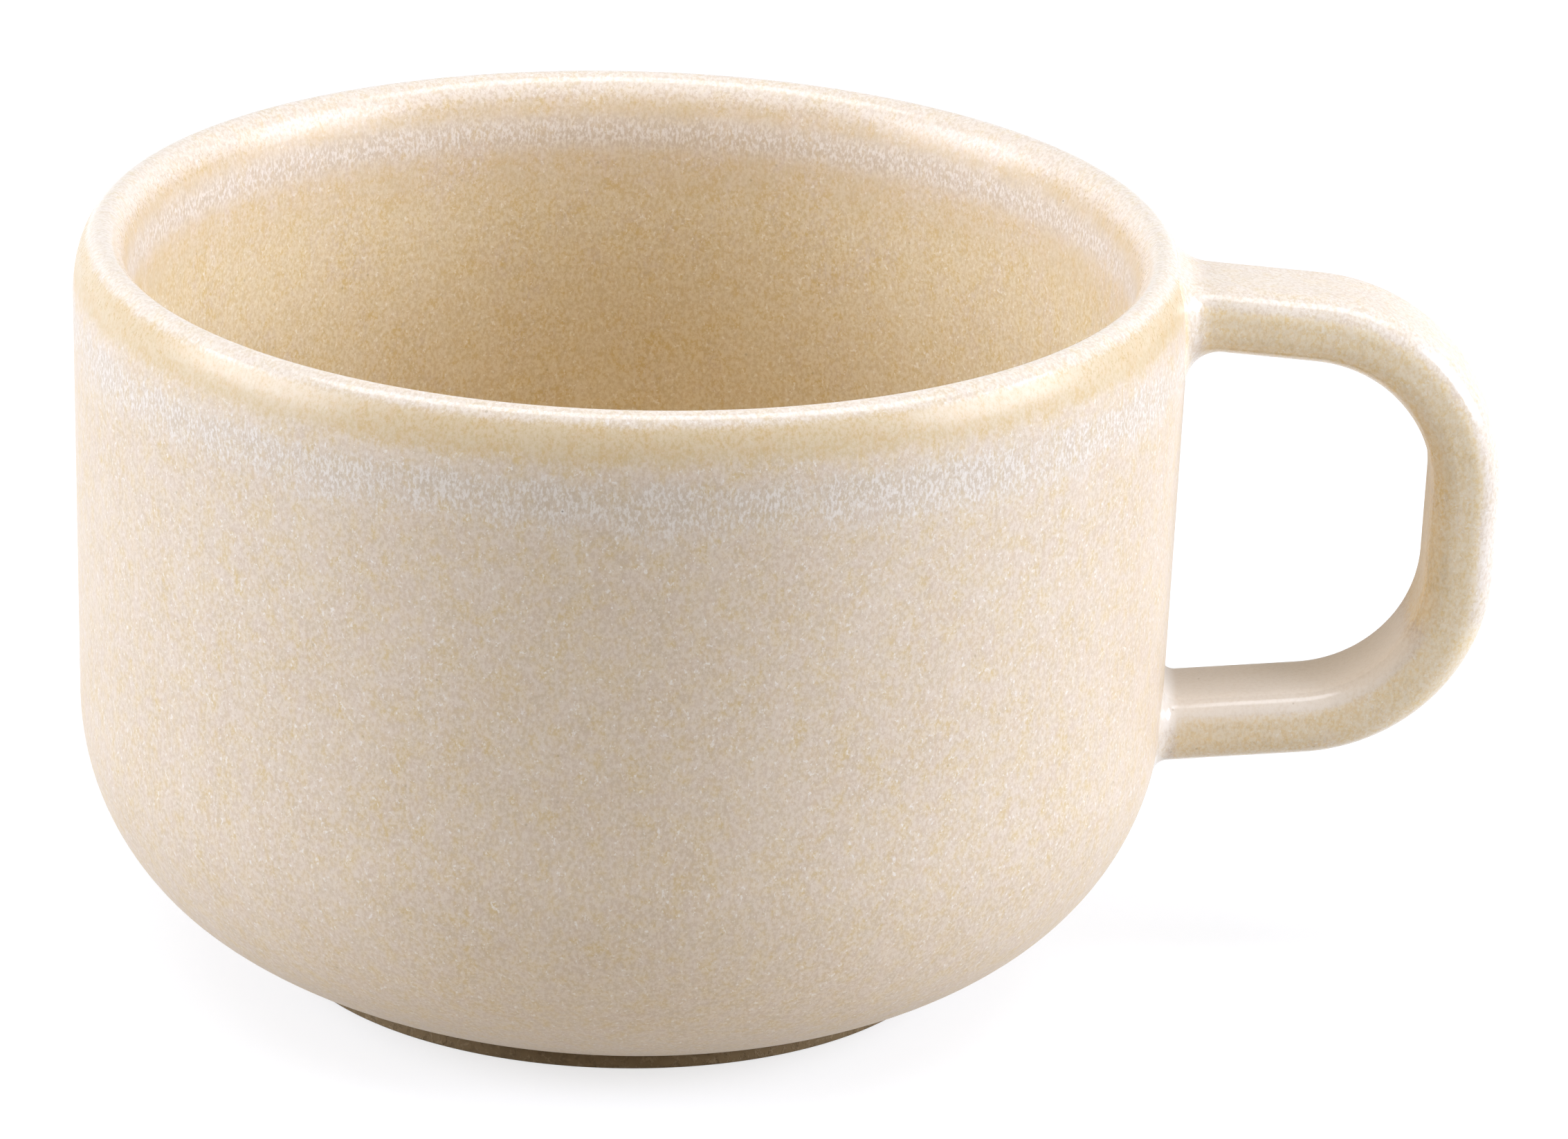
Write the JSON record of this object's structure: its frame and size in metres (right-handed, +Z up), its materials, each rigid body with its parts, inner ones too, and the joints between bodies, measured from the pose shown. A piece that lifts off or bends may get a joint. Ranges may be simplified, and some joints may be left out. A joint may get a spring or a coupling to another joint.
{
  "type": "coffee cup",
  "caption": "Low glazed coffee cup with a rounded bowl, a thick rounded lip, a bare foot ring and a strap handle with round bends.",
  "frame": {"origin": "on the table, under the middle of the whole cup with its handle; the bowl's own axis stands at x = -12.8 mm", "axes": "+X from the bowl towards the handle, +Z up along the bowl's axis"},
  "size_m": [0.1156, 0.09, 0.0613],
  "materials": {
    "glaze": "satin cream glaze with fine flecks",
    "bare_clay": "bare fired clay"
  },
  "bodies": {
    "root": {"bowl": "glaze", "foot_ring": "bare_clay", "handle": "glaze", "upper_slip_joint": "glaze", "lower_slip_joint": "glaze"}
  },
  "joints": []
}
